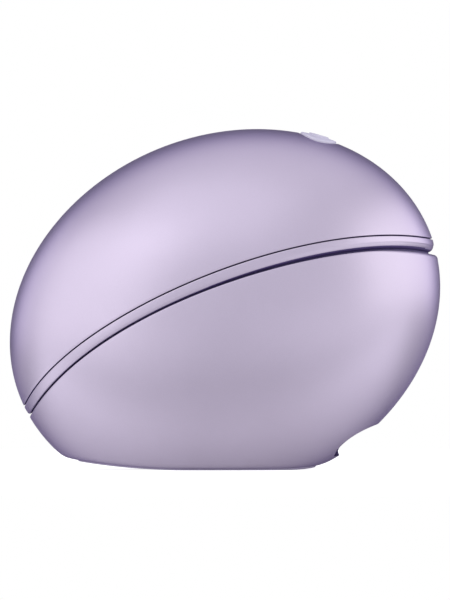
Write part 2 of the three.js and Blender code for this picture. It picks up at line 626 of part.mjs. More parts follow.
node("treatment_bezel", treatmentBezel(), MATERIALS.bezel, headFrame);
node("window_glass", box(GLASS.x, GLASS.y, GLASS.z, GLASS.z + GLASS.thick), MATERIALS.glass, headFrame);
node("window_gasket", windowGasket(), MATERIALS.rubber, headFrame);
node("reflector", reflector(), MATERIALS.mirror, headFrame);
node("lamp_housing", lampHousing(), MATERIALS.white, headFrame);
node("flash_lamp", flashLamp(), MATERIALS.quartz, headFrame);
node("lamp_anode", electrode(1), MATERIALS.steel, headFrame);
node("lamp_cathode", electrode(-1), MATERIALS.steel, headFrame);
node("lamp_holder_rear", lampHolder(1), MATERIALS.white, headFrame);
node("lamp_holder_front", lampHolder(-1), MATERIALS.white, headFrame);
node("heat_sink", heatSink(), MATERIALS.aluminium, headFrame);
node("thermal_cutout", thermalCutout(), MATERIALS.steel, headFrame);
node("fan_frame", fanFrame(), MATERIALS.black, headFrame);
node("fan_rotor", fanRotor(), MATERIALS.black, headFrame);
node("fan_shaft", cylinder(0.6, FAN.bottom + 1.5, FAN.top - 1.2, 12), MATERIALS.steel, headFrame);
node("fan_bearing", ring(0.7, 1.3, FAN.bottom + 1.3, FAN.top - 2.4, 12), MATERIALS.brass, headFrame);
node("fan_stator", ring(1.6, 3.0, FAN.bottom + 1.3, FAN.top - 2.4), MATERIALS.brass, headFrame);
node("skin_tone_sensor", cylinder(SENSOR.radius, 0.5, 4.7), MATERIALS.black, headFrame)
  .position.x = SENSOR.x;
node("sensor_board", sensorBoard(), MATERIALS.board, headFrame);
atCorners(LEG.x, LEG.y, (x, y, i) => {
  const seat = baseHeight(BEZEL.centreX + x) + 2.9;
  node(`case_screw_${i}`, screw(CASE_SCREW), MATERIALS.steel, headFrame).position.set(x, y, seat);
});
atCorners(FAN.screw, FAN.screw, (x, y, i) => {
  const mesh = node(`fan_screw_${i}`, screw(FAN_SCREW), MATERIALS.steel, headFrame);
  mesh.position.set(x, y, FAN.top + GAP);
  mesh.rotation.x = Math.PI;
});

node("power_inlet", powerInlet(), MATERIALS.black, inletFrame);
node("inlet_pin", cylinder(SOCKET.pin, SOCKET.back - 1.6, SOCKET.mouth - 0.7), MATERIALS.brass, inletFrame);

node("button_cap", buttonCap(), MATERIALS.silicone, buttonFrame);
node("switch_plunger", switchPlunger(), MATERIALS.white, buttonFrame);
node("tact_switch", tactSwitch(), MATERIALS.black, buttonFrame);
node("button_board", buttonBoard(), MATERIALS.board, buttonFrame);
bothEnds((x, i) =>
  node(`button_screw_${i}`, screw(BUTTON_SCREW), MATERIALS.steel, buttonFrame)
    .position.set(x, 0, BUTTON_BOARD.bottom - GAP),
);

Object.entries(LEADS).forEach(([name, points]) => node(name, lead(points), MATERIALS.lead, epilator));

export default epilator;
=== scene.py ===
"""Pulsed-light epilator: the visible surfaces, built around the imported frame.

Lengths are in millimetres and turned into metres where a mesh is made.
The egg's own frame has u along its long axis, y across, v along its short axis.
"""
import json
import math

import bmesh
import bpy
from mathutils import Matrix, Vector


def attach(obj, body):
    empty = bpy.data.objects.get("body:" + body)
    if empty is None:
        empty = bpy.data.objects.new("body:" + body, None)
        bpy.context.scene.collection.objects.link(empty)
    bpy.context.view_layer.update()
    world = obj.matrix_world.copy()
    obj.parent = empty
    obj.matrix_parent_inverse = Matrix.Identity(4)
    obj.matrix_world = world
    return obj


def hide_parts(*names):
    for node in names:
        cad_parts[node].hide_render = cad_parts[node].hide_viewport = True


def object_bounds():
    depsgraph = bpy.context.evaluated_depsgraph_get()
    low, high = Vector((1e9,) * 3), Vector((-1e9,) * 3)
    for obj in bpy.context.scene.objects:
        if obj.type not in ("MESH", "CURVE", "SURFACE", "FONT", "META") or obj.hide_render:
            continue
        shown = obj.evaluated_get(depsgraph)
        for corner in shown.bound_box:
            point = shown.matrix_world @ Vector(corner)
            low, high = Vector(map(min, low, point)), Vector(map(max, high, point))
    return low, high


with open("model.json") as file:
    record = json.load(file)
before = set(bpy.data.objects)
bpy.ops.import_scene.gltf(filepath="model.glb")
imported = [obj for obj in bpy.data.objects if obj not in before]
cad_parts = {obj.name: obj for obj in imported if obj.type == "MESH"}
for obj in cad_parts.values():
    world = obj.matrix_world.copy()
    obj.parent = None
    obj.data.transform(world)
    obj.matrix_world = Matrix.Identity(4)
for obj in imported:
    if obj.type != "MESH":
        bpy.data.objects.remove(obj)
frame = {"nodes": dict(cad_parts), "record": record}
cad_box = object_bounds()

MM = 0.001
TAU = 2 * math.pi

# ------------------------------------------------------------------ measures
# The egg's half length a, half width w and half height b, its tilt and its middle.
EGG = {"a": 48.8, "w": 30.0, "b": 39.5, "tilt": math.radians(22.6), "centre": Vector((0, 0, 34.2))}
# Control points (u, v) of cubic Bezier curves.
UPPER_SEAM = ((-47.9, -0.9), (-31.4, 12.7), (24.2, 13.9), (49.3, -2.5))
GROOVE_LINE = ((-56.95, -14.15), (-43.9, 15.15), (26.35, 8.87), (47.07, -4.5))
SEAM_GAP = 0.26
GROOVE_GAP = (0.36, 0.46)  # width at the front and at the rear
GROOVE_WIDENS = (-10, 45)  # between these u
WALL = {"upper": 2.0, "band": 1.4, "lower": 2.3}  # thickness
SEAM_ROLL = 0.14  # radius of the two edges at the seam
ROLL_STEPS = 4

BASE = {
    "flat_from": -8.0, "flat_to": 14.0, "left_radius": 161.0, "right_radius": 35.0,
    "left_end": -44.0, "right_end": 32.0,
}
CORNER = 110  # the higher, the tighter the corner between the egg and the standing face
INNER_FLOOR = 4.0  # thickness of the lower shell over the standing face
TONGUE = {"outer": 1.7, "inner": 2.9, "rise": 1.3}  # depths below the surface, height over the edge
LAMP_OPENING = {"half_x": 17.3, "half_y": 8.8, "corner": 0.8}
BEZEL = {"x": -6.2, "half_x": 26.3, "half_y": 15.5, "proud": 0.25, "thick": 1.5, "gap": 0.3}
WINDOW = {"x": 30.0, "y": 13.0, "corner": 3.0}
BUTTON = {"angle": math.radians(45.6), "half_x": 4.1, "half_y": 6.2, "proud": 0.35, "play": 0.25}
INLET = {"x": 29.2, "z": 7.3, "tilt": math.radians(146.6), "channel": 3.7}
# The thicker wall round the inlet's channel: the z of its inner face in the inlet's frame, its
# reach aside and its run-out.
INLET_PAD = {"inner": -3.2, "half": 7.6, "run_out": 1.2}
# Faces deeper than this are in the gaps, where they lie between these heights over the groove; they get
# painted shade.
GAP = {"deep": 0.62, "under": -4, "over": 6}


# ------------------------------------------------------------------ frames
def egg_to_object(u, y, v):
    """A point of the egg's frame in the object's frame."""
    cosine, sine = math.cos(EGG["tilt"]), math.sin(EGG["tilt"])
    return EGG["centre"] + Vector((u * cosine - v * sine, y, u * sine + v * cosine))


def egg_axes(way):
    """How far a direction of the object's frame goes along u and along v."""
    cosine, sine = math.cos(EGG["tilt"]), math.sin(EGG["tilt"])
    return way.x * cosine + way.z * sine, way.z * cosine - way.x * sine


def ball_to_object(point):
    """A point of the unit ball on the egg's surface, in the object's frame."""
    return egg_to_object(EGG["a"] * point.x, EGG["w"] * point.y, EGG["b"] * point.z)


def turned_about_y(origin, angle):
    return Matrix.Translation(origin) @ Matrix.Rotation(angle, 4, "Y")


def button_frame():
    """Z is the egg's outward normal at the button."""
    angle = BUTTON["angle"]
    origin = egg_to_object(EGG["a"] * math.cos(angle), 0, EGG["b"] * math.sin(angle))
    lean = math.atan2(math.cos(angle) / EGG["a"], math.sin(angle) / EGG["b"])
    return turned_about_y(origin, lean - EGG["tilt"])


def inlet_frame():
    """Z points out of the power inlet."""
    return turned_about_y(Vector((INLET["x"], 0, INLET["z"])), INLET["tilt"])


def blend(low, high, part):
    return low + (high - low) * part


def smooth(part):
    part = min(max(part, 0.0), 1.0)
    return part * part * (3 - 2 * part)


# ------------------------------------------------------------------ curves
def seam_height(points, samples=240):
    """v as a function of u along a cubic Bezier curve, read from a finely sampled line."""
    line = []
    for i in range(samples + 1):
        t = i / samples
        weights = ((1 - t) ** 3, 3 * t * (1 - t) ** 2, 3 * t * t * (1 - t), t ** 3)
        line.append(tuple(sum(w * p[k] for w, p in zip(weights, points)) for k in (0, 1)))

    def height(u):
        low, high = 0, samples - 1
        while low < high:
            middle = (low + high + 1) // 2
            if line[middle][0] <= u:
                low = middle
            else:
                high = middle - 1
        (u0, v0), (u1, v1) = line[low], line[low + 1]
        return v0 + (v1 - v0) * (u - u0) / (u1 - u0)

    return height


upper_seam = seam_height(UPPER_SEAM)
groove_line = seam_height(GROOVE_LINE)


def slope_factor(height, u):
    """Vertical distance for each unit of distance across the line."""
    return math.hypot(1.0, (height(u + 0.5) - height(u - 0.5)))


def groove_half(u):
    """Half the groove's width."""
    start, end = GROOVE_WIDENS
    return 0.5 * blend(*GROOVE_GAP, smooth((u - start) / (end - start)))


def above_seam(point, drop):
    """How far a ball point is above the upper seam lowered by drop, along v."""
    u, v = EGG["a"] * point.x, EGG["b"] * point.z
    return v - upper_seam(u) + drop * slope_factor(upper_seam, u)


def above_groove(point, side):
    """How far a ball point is above the groove's upper (+1) or lower (-1) edge, along v."""
    u, v = EGG["a"] * point.x, EGG["b"] * point.z
    return v - groove_line(u) - side * groove_half(u) * slope_factor(groove_line, u)


def base_height(x):
    """Height of the standing face: flat in the middle, and rising to both ends."""
    if x < BASE["flat_from"]:
        return (x - BASE["flat_from"]) ** 2 / (2 * BASE["left_radius"])
    if x > BASE["flat_to"]:
        return (x - BASE["flat_to"]) ** 2 / (2 * BASE["right_radius"])
    return 0.0


def body_point(point):
    """The lower body along a ball direction: the egg, softly cut by the standing face."""
    hardly_down, far_down = -1, 1.6
    centre = EGG["centre"]
    ray = ball_to_object(point) - centre
    if ray.z > hardly_down:
        return centre + ray
    reach = 1.0
    for _ in range(6):
        x = min(max(centre.x + reach * ray.x, BASE["left_end"]), BASE["right_end"])
        target = base_height(x) + BEZEL["proud"]
        reach = (target - centre.z) / ray.z
    if reach > far_down:
        return centre + ray
    return centre + ray * (1 + reach ** -CORNER) ** (-1 / CORNER)


# ------------------------------------------------------------------ patches on the egg
class Patch:
    """A ring-shaped stretch of surface round a pole, between two edges.

    place(point) puts a ball point on the surface. Each edge is a function of a ball point
    that changes sign where the edge is. Without a start, the stretch begins at the pole.
    """

    def __init__(self, pole, place, start, end, around=256):
        self.pole = pole.normalized()
        self.side = Vector((0, 1, 0))
        self.front = self.side.cross(self.pole).normalized()
        self.place = place
        self.around = around
        self.starts = [self.crossing(k, start, 0.0) if start else 0.0 for k in range(around)]
        self.ends = [self.crossing(k, end, s) for k, s in enumerate(self.starts)]

    def ball(self, k, turn):
        angle = TAU * k / self.around
        across = self.front * math.cos(angle) + self.side * math.sin(angle)
        return self.pole * math.cos(turn) + across * math.sin(turn)

    def crossing(self, k, edge, after):
        """The first turn after a given one at which the edge function changes sign."""
        low, high = after + 0.01, after + 0.03
        before = edge(self.ball(k, low)) > 0
        while (edge(self.ball(k, high)) > 0) == before:
            low, high = high, high + 0.02
        for _ in range(24):
            middle = (low + high) / 2
            if (edge(self.ball(k, middle)) > 0) == before:
                low = middle
            else:
                high = middle
        return (low + high) / 2

    def at(self, k, turn):
        return self.place(self.ball(k, turn))

    def frame_at(self, k, turn):
        """The point, its outward normal, the direction away from the pole, and the length of
        surface for each unit of turn."""
        step = 0.002
        point = self.at(k, turn)
        along = self.at(k, turn + step) - self.at(k, turn - step)
        across = self.place(self.ball(k + 0.02, turn)) - self.place(self.ball(k - 0.02, turn))
        normal = across.cross(along).normalized()
        if normal.dot(point - EGG["centre"]) < 0:
            normal.negate()
        away = (along - normal * along.dot(normal)).normalized()
        return point, normal, away, along.length / (2 * step)

    def loop(self, turns, inset=0.0):
        """Points at the given turns, moved inwards along the surface's normals by inset."""
        if not inset:
            return [self.at(k, turn) for k, turn in enumerate(turns)]
        points = []
        for k, turn in enumerate(turns):
            point, normal, _, _ = self.frame_at(k, turn)
            points.append(point - normal * inset)
        return points

    def roll(self, turns, radius, steps, towards):
        """A rounded edge from the wall up to the surface. towards is +1 if the surface lies away
        from the pole. Gives the loops, and the turns at which the surface takes over."""
        loops = [[] for _ in range(steps + 1)]
        taken_over = []
        given = radius
        for k, turn in enumerate(turns):
            point, normal, away, speed = self.frame_at(k, turn)
            radius = given(self.ball(k, turn)) if callable(given) else given
            into = away * towards
            middle = point + (into - normal) * radius
            for i in range(steps + 1):
                angle = math.pi / 2 * i / steps
                loops[i].append(middle + (normal * math.sin(angle) - into * math.cos(angle)) * radius)
            taken_over.append(turn + towards * radius / speed)
        return loops, taken_over


def spaced(count):
    """Fractions between 0 and 1, both left out."""
    return [i / count for i in range(1, count)]


def between(first, second, part):
    return [blend(a, b, part) for a, b in zip(first, second)]


# ------------------------------------------------------------------ meshes
SAME_PLACE = 1e-7
SHARP = math.radians(35)


def raw_mesh(name, vertices, faces):
    mesh = bpy.data.meshes.new(name)
    mesh.from_pydata([Vector(v) * MM for v in vertices], [], faces)
    return mesh


def turn_outwards(mesh, merge=False):
    """Turns every face outwards. With merge, points in the same place are joined first."""
    work = bmesh.new()
    work.from_mesh(mesh)
    if merge:
        bmesh.ops.remove_doubles(work, verts=work.verts, dist=SAME_PLACE)
    bmesh.ops.recalc_face_normals(work, faces=work.faces)
    work.to_mesh(mesh)
    work.free()
    return mesh


def new_piece(name, vertices, faces, material, body, slot, replaces):
    mesh = raw_mesh(name, vertices, faces)
    mesh.validate()
    return finish_piece(name, mesh, material, body, slot, replaces)


def finish_piece(name, mesh, material, body, slot, replaces):
    """A piece shaded smooth but for its sharp edges."""
    turn_outwards(mesh, merge=True)
    mesh.materials.clear()
    mesh.materials.append(material)
    mesh.polygons.foreach_set("use_smooth", [True] * len(mesh.polygons))
    mesh.set_sharp_from_angle(angle=SHARP)
    piece = bpy.data.objects.new(name, mesh)
    bpy.context.scene.collection.objects.link(piece)
    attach(piece, body)
    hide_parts(*replaces)
    return piece


def woven(loops, capped=False):
    """Faces between successive loops of one length. The last loop meets the first, or both
    ends are capped with a fan round their middle."""
    rows, around = len(loops), len(loops[0])
    vertices = [point for loop in loops for point in loop]
    faces = []
    for i in range(rows - 1 if capped else rows):
        low, high = i * around, ((i + 1) % rows) * around
        for k in range(around):
            after = (k + 1) % around
            faces.append((low + k, low + after, high + after, high + k))
    if capped:
        for row in (0, rows - 1):
            hub = len(vertices)
            vertices.append(sum((Vector(p) for p in loops[row]), Vector()) / around)
            faces += [(row * around + k, row * around + (k + 1) % around, hub) for k in range(around)]
    return vertices, faces


def cut(solid, cutters):
    """A mesh of the solid less the cutters, each a (vertices, faces) pair in millimetres."""
    target, *tools = [
        bpy.data.objects.new("cut_target", turn_outwards(raw_mesh("rough", *each)))
        for each in (solid, *cutters)
    ]
    for thing in (target, *tools):
        bpy.context.scene.collection.objects.link(thing)
    for tool in tools:
        modifier = target.modifiers.new("cut", "BOOLEAN")
        modifier.operation = "DIFFERENCE"
        modifier.solver = "EXACT"
        modifier.object = tool
    evaluated = target.evaluated_get(bpy.context.evaluated_depsgraph_get())
    result = bpy.data.meshes.new_from_object(evaluated)
    for thing in (target, *tools):
        bpy.data.objects.remove(thing)
    return result


def round_angles(sides):
    return [TAU * k / sides for k in range(sides)]


def prism_along_y(outline, low, high):
    """A closed prism from an outline of (x, z) points."""
    return woven([[Vector((x, y, z)) for x, z in outline] for y in (low, high)], capped=True)


def turned_loop(radius, z, matrix, sides):
    """A circle round the matrix's Z axis."""
    return [
        matrix @ Vector((radius * math.cos(angle), radius * math.sin(angle), z))
        for angle in round_angles(sides)
    ]


def turned(profile, matrix, sides):
    """A closed solid turned round the matrix's Z axis from (radius, z) points."""
    return woven([turned_loop(radius, z, matrix, sides) for radius, z in profile], capped=True)


# ------------------------------------------------------------------ materials
def add_node(tree, kind, inputs=None, **settings):
    """A new node. An input is given as a number, a colour or the socket that feeds it."""
    node = tree.nodes.new(kind)
    for key, value in settings.items():
        setattr(node, key, value)
    for key, value in (inputs or {}).items():
        feed(tree, node.inputs[key], value)
    return node


def feed(tree, socket, value):
    if isinstance(value, bpy.types.NodeSocket):
        tree.links.new(value, socket)
    else:
        socket.default_value = value


def add_ramp(tree, value, stops):
    """stops are (position, colour); a colour may be one number."""
    node = add_node(tree, "ShaderNodeValToRGB", {"Fac": value})
    elements = node.color_ramp.elements
    while len(elements) < len(stops):
        elements.new(0.5)
    for element, (position, colour) in zip(elements, stops):
        element.position = position
        grey = isinstance(colour, (int, float))
        element.color = (colour,) * 3 + (1,) if grey else (*colour, 1)
    return node.outputs["Color"]


class Nodes:
    """A new material with short helpers to add and join its nodes."""

    def __init__(self, name):
        self.material = bpy.data.materials.new(name)
        self.material.use_nodes = True
        self.tree = self.material.node_tree
        self.shader = self.tree.nodes["Principled BSDF"]
        self.place = self.add("ShaderNodeTexCoord").outputs["Object"]

    def add(self, kind, inputs=None, **settings):
        return add_node(self.tree, kind, inputs, **settings)

    def set(self, **values):
        """Sets the shader's inputs, each named in lower case with underscores."""
        for key, value in values.items():
            feed(self.tree, self.shader.inputs[key.replace("_", " ").title().replace("Ior", "IOR")], value)

    def noise(self, size, detail=3.0, roughness=0.55, stretch=None):
        """Noise whose grains are about size millimetres."""
        place = self.place
        if stretch:
            place = self.add("ShaderNodeMapping", {"Vector": place, "Scale": stretch}).outputs["Vector"]
        made = self.add("ShaderNodeTexNoise", {
            "Vector": place, "Scale": 1 / (size * MM), "Detail": detail, "Roughness": roughness,
        })
        return made.outputs["Fac"]

    def ramp(self, value, *stops):
        return add_ramp(self.tree, value, stops)

    def bump(self, height, depth, under=None):
        """A bump of depth millimetres, on top of the bump under it."""
        inputs = {"Height": height, "Distance": depth * MM, "Strength": 1.0}
        if under:
            inputs["Normal"] = under
        return self.add("ShaderNodeBump", inputs).outputs["Normal"]


def shaded(colour, factor):
    """The colour times a factor, at most 1."""
    return tuple(min(1.0, c * factor) for c in colour)


def lilac_paint(name, colour):
    """Satin metallic paint: fine flakes in the colour, a little orange peel under a soft coat."""
    shift = 0.035
    nodes = Nodes(name)
    flakes = nodes.noise(0.16, 2.0, 0.7)
    clouds = nodes.noise(9.0, 2.0)
    darker, lighter = shaded(colour, 1 - shift * 1.6), shaded(colour, 1 + shift)
    flaked = nodes.ramp(flakes, (0.35, darker), (0.65, lighter))
    clouded = nodes.ramp(clouds, (0.3, shaded(colour, 0.985)), (0.7, lighter))
    mixed = nodes.add("ShaderNodeMix", {"Factor": 0.35, "A": flaked, "B": clouded}, data_type="RGBA")
    peel = nodes.bump(nodes.noise(1.6, 1.0), 0.004)
    grain = nodes.bump(flakes, 0.0035, peel)
    nodes.set(
        base_color=mixed.outputs["Result"],
        metallic=0.92,
        roughness=nodes.ramp(flakes, (0.3, 0.34), (0.7, 0.43)),
        specular_tint=(0.20, 0.15, 0.40, 1),
        coat_weight=0.04,
        coat_roughness=0.32,
        normal=grain,
    )
    return nodes.material


def moulded_plastic(name, colour, roughness, grain=0.35, depth=0.004, coat=0.0):
    """Plain moulded plastic: fine spark-eroded grain and slightly uneven gloss."""
    nodes = Nodes(name)
    fine = nodes.noise(grain, 2.0, 0.6)
    wide = nodes.noise(6.0, 2.0)
    nodes.set(
        base_color=nodes.ramp(wide, (0.3, shaded(colour, 0.9)), (0.7, colour)),
        roughness=nodes.ramp(fine, (0.3, roughness - 0.05), (0.7, roughness + 0.08)),
        normal=nodes.bump(fine, depth),
        coat_weight=coat,
    )
    return nodes.material


def brushed_metal(name, colour, roughness, depth=0.002):
    """Metal with fine parallel scratches along X."""
    nodes = Nodes(name)
    scratches = nodes.noise(2.4, 3.0, 0.6, (1, 24, 24))
    wide = nodes.noise(5.0, 2.0)
    nodes.set(
        base_color=nodes.ramp(wide, (0.3, shaded(colour, 0.88)), (0.7, colour)),
        metallic=1.0,
        roughness=nodes.ramp(scratches, (0.3, roughness - 0.08), (0.7, roughness + 0.1)),
        normal=nodes.bump(scratches, depth),
    )
    return nodes.material


def clear_glass(name, colour, roughness=0.03):
    """Clear or tinted glass with faint ripples."""
    nodes = Nodes(name)
    ripple = nodes.noise(7.0, 1.0)
    nodes.set(
        base_color=nodes.ramp(ripple, (0.3, shaded(colour, 0.97)), (0.7, colour)),
        roughness=nodes.ramp(ripple, (0.3, roughness), (0.7, roughness + 0.03)),
        transmission_weight=1.0,
        ior=1.46,
        normal=nodes.bump(ripple, 0.002),
    )
    return nodes.material


def circuit_board(name):
    """Green solder mask with paler tracks and tinned pads."""
    nodes = Nodes(name)
    tracks = nodes.add("ShaderNodeTexBrick", {
        "Vector": nodes.place, "Scale": 1 / (6 * MM), "Mortar Size": 0.06, "Mortar Smooth": 0.2,
        "Color1": (0.008, 0.055, 0.03, 1), "Color2": (0.01, 0.07, 0.035, 1),
        "Mortar": (0.02, 0.14, 0.06, 1),
    })
    pads = nodes.add("ShaderNodeTexVoronoi", {"Vector": nodes.place, "Scale": 1 / (2.6 * MM)})
    tinned = nodes.ramp(pads.outputs["Distance"], (0.14, 1.0), (0.16, 0.0))
    mixed = nodes.add("ShaderNodeMix", {
        "Factor": tinned, "A": tracks.outputs["Color"], "B": (0.6, 0.58, 0.55, 1),
    }, data_type="RGBA")
    nodes.set(
        base_color=mixed.outputs["Result"],
        metallic=tinned,
        roughness=nodes.ramp(nodes.noise(0.6), (0.3, 0.3), (0.7, 0.42)),
        normal=nodes.bump(tracks.outputs["Fac"], 0.03),
    )
    return nodes.material


SILVER_LILAC = (0.535, 0.478, 0.60)
paint = lilac_paint("lilac_satin_paint", SILVER_LILAC)
band_paint = lilac_paint("lilac_band_paint", SILVER_LILAC)
silicone = moulded_plastic("lilac_silicone", (0.57, 0.55, 0.67), 0.55, 0.2, 0.003)
plate_metal = brushed_metal("anodised_lilac_plate", (0.50, 0.44, 0.62), 0.28)
filter_glass = clear_glass("amber_filter_glass", (0.95, 0.80, 0.52), roughness=0.16)
quartz = clear_glass("lamp_quartz", (0.97, 0.98, 1.0))
mirror = brushed_metal("reflector_mirror", (0.93, 0.93, 0.95), 0.26, depth=0.0003)
aluminium = brushed_metal("heat_sink_aluminium", (0.75, 0.76, 0.78), 0.38)
steel = brushed_metal("screw_steel", (0.55, 0.56, 0.58), 0.32)
brass = brushed_metal("contact_brass", (0.80, 0.60, 0.28), 0.28)
black = moulded_plastic("black_plastic", (0.012, 0.012, 0.015), 0.5)
white = moulded_plastic("white_plastic", (0.74, 0.72, 0.68), 0.55)
ferrite = moulded_plastic("ferrite", (0.045, 0.042, 0.042), 0.62, 0.8, 0.02)
sleeve = moulded_plastic("capacitor_sleeve", (0.018, 0.024, 0.10), 0.32, 0.8, 0.006, 0.3)
rubber = moulded_plastic("gasket_rubber", (0.035, 0.032, 0.042), 0.75, 0.3, 0.008)
lead_skin = moulded_plastic("lead_insulation", (0.33, 0.02, 0.02), 0.4, 0.5, 0.004)
board_skin = circuit_board("circuit_board")
# Painted shade: a dark purple stand-in for the shade deep in the seam, the groove and the lip's notches,
# put on those faces in place of the paint.
gap_shade_material = moulded_plastic("painted_gap_shade", (0.075, 0.050, 0.170), 0.6)
SLOT_MATERIALS = {
    "lilac_shell": paint, "button_silicone": silicone, "treatment_bezel": plate_metal,
    "window_glass": filter_glass, "lamp_quartz": quartz, "reflector": mirror,
    "heat_sink": aluminium, "gasket_rubber": rubber, "black_plastic": black,
    "white_plastic": white, "circuit_board": board_skin, "capacitor_sleeve": sleeve,
    "ferrite": ferrite, "brass": brass, "steel": steel, "lead_insulation": lead_skin,
}
for row in frame["record"]["subparts"]:
    node_mesh = frame["nodes"][row["node"]].data
    node_mesh.materials.clear()
    node_mesh.materials.append(SLOT_MATERIALS[row["material_slot"]])


def paint_gap_shade(piece):
    """Painted shade: the walls deep in the seam and the groove get a dark purple material in place of the
    paint, to stand for the shade that falls in there.
    """
    mesh = piece.data
    mesh.materials.append(gap_shade_material)
    for face in mesh.polygons:
        place = face.center / MM - EGG["centre"]
        u, v = egg_axes(place)
        ball = Vector((u / EGG["a"], place.y / EGG["w"], v / EGG["b"]))
        deep = (1 - ball.length) * EGG["b"] > GAP["deep"]
        if deep and GAP["under"] < v - groove_line(u) < GAP["over"]:
            face.material_index = 1


# ------------------------------------------------------------------ upper shell
to_button = button_frame().inverted()
HOLE_ROLL = 0.22


def button_oval(ball, room):
    """Below 0 in the button's oval, grown by room, and above 0 outside it."""
    place = to_button @ ball_to_object(ball)
    far_below = place.z < -20
    if far_below:
        return 1.0
    return math.hypot(place.x / (BUTTON["half_x"] + room), place.y / (BUTTON["half_y"] + room)) - 1


def upper_shell():
    """From the button's hole to the upper seam. The wall of the hole follows the egg's normals,
    so the hole narrows as it goes in."""
    angle = BUTTON["angle"]
    patch = Patch(
        Vector((math.cos(angle), 0, math.sin(angle))),
        ball_to_object,
        lambda ball: button_oval(ball, BUTTON["play"]),
        lambda ball: above_seam(ball, -SEAM_GAP / 2),
    )
    hole_roll, first = patch.roll(patch.starts, HOLE_ROLL, ROLL_STEPS, 1)
    seam_roll, last = patch.roll(patch.ends, SEAM_ROLL, ROLL_STEPS, -1)
    rows = [patch.loop(between(first, last, part)) for part in spaced(84)]
    inner = [patch.loop(between(patch.ends, patch.starts, part), WALL["upper"]) for part in spaced(24)]
    loops = [
        patch.loop(patch.starts, WALL["upper"]), *hole_roll, *rows, *reversed(seam_roll),
        patch.loop(patch.ends, WALL["upper"]), *inner,
    ]
    return woven(loops)


upper_skin = new_piece(
    "upper_shell_skin", *upper_shell(), paint, "casing", "lilac_shell", ["upper_shell"],
)
paint_gap_shade(upper_skin)


# ------------------------------------------------------------------ trim band
def towards_rear(ball, start, end):
    """0 up to u = start, 1 from u = end on."""
    return smooth((EGG["a"] * ball.x - start) / (end - start))


def band_roll(ball):
    """Radius of the band's lower edge."""
    return blend(0.5, 1.45, towards_rear(ball, -18, 44))


def shoulder_roll(ball):
    """Radius of the lower shell's upper edge."""
    return blend(0.3, 1.05, towards_rear(ball, 34, 45))


def band_point(ball):
    """The band leans inwards as it goes down from the seam to the groove."""
    below, above = -above_seam(ball, SEAM_GAP / 2), above_groove(ball, 1)
    part = min(max(below / max(below + above, 0.01), 0), 1)
    lean = blend(0.003, 0.013, towards_rear(ball, -45, -5))
    return EGG["centre"] + (ball_to_object(ball) - EGG["centre"]) * (1 - lean * part * part)


def trim_band():
    """From the upper seam down to the groove."""
    depth = WALL["band"]
    patch = Patch(
        Vector((0, 0, 1)),
        band_point,
        None,
        lambda ball: above_seam(ball, SEAM_GAP / 2),
        around=320,
    )
    top = patch.ends
    lower_edge = [patch.crossing(k, lambda ball: above_groove(ball, 1), t) for k, t in enumerate(top)]
    top_roll, first = patch.roll(top, SEAM_ROLL, ROLL_STEPS, 1)
    low_roll, last = patch.roll(lower_edge, band_roll, 9, -1)
    rows = [patch.loop(between(first, last, part)) for part in spaced(10)]
    loops = [patch.loop(top, depth), *top_roll, *rows, *reversed(low_roll), patch.loop(lower_edge, depth)]
    return woven(loops)


band_skin = new_piece(
    "trim_band_skin", *trim_band(), band_paint, "casing", "lilac_shell", ["trim_band"],
)
paint_gap_shade(band_skin)


# ------------------------------------------------------------------ lower shell
def plate_oval(point, room):
    """Below 0 in the treatment plate's oval, grown by room, and above 0 outside it."""
    half_x, half_y = BEZEL["half_x"] + room, BEZEL["half_y"] + room
    return math.hypot((point.x - BEZEL["x"]) / half_x, point.y / half_y) - 1


def rounded_rectangle_reach(direction, half_x, half_y, corner):
    """How far a rounded rectangle reaches from its middle in a direction."""
    low, high = 0.0, half_x + half_y
    for _ in range(30):
        middle = (low + high) / 2
        x, y = abs(direction[0]) * middle, abs(direction[1]) * middle
        past = math.hypot(max(x - half_x + corner, 0), max(y - half_y + corner, 0)) - corner
        if max(past, x - half_x, y - half_y) > 0:
            high = middle
        else:
            low = middle
    return low


def inner_point(ball, to_inlet):
    """The inside of the lower shell: thicker round the power inlet, and flat at the floor."""
    centre = EGG["centre"]
    outside = body_point(ball)
    ray = outside - centre
    part = 1 - WALL["lower"] / ray.length
    start, end = to_inlet @ centre, to_inlet @ outside
    inner = INLET_PAD["inner"]
    pad_part = (inner - start.z) / (end.z - start.z) if end.z > inner else part
    hit = start.lerp(end, pad_part)
    aside = max(abs(hit.x), abs(hit.y))
    weight = smooth((INLET_PAD["half"] - aside) / INLET_PAD["run_out"]) if pad_part < part else 0
    inside = centre + ray * blend(part, pad_part, weight)
    level = base_height(inside.x) + INNER_FLOOR
    if inside.z < level:
        inside = centre + ray * ((level - centre.z) / ray.z)
    return inside


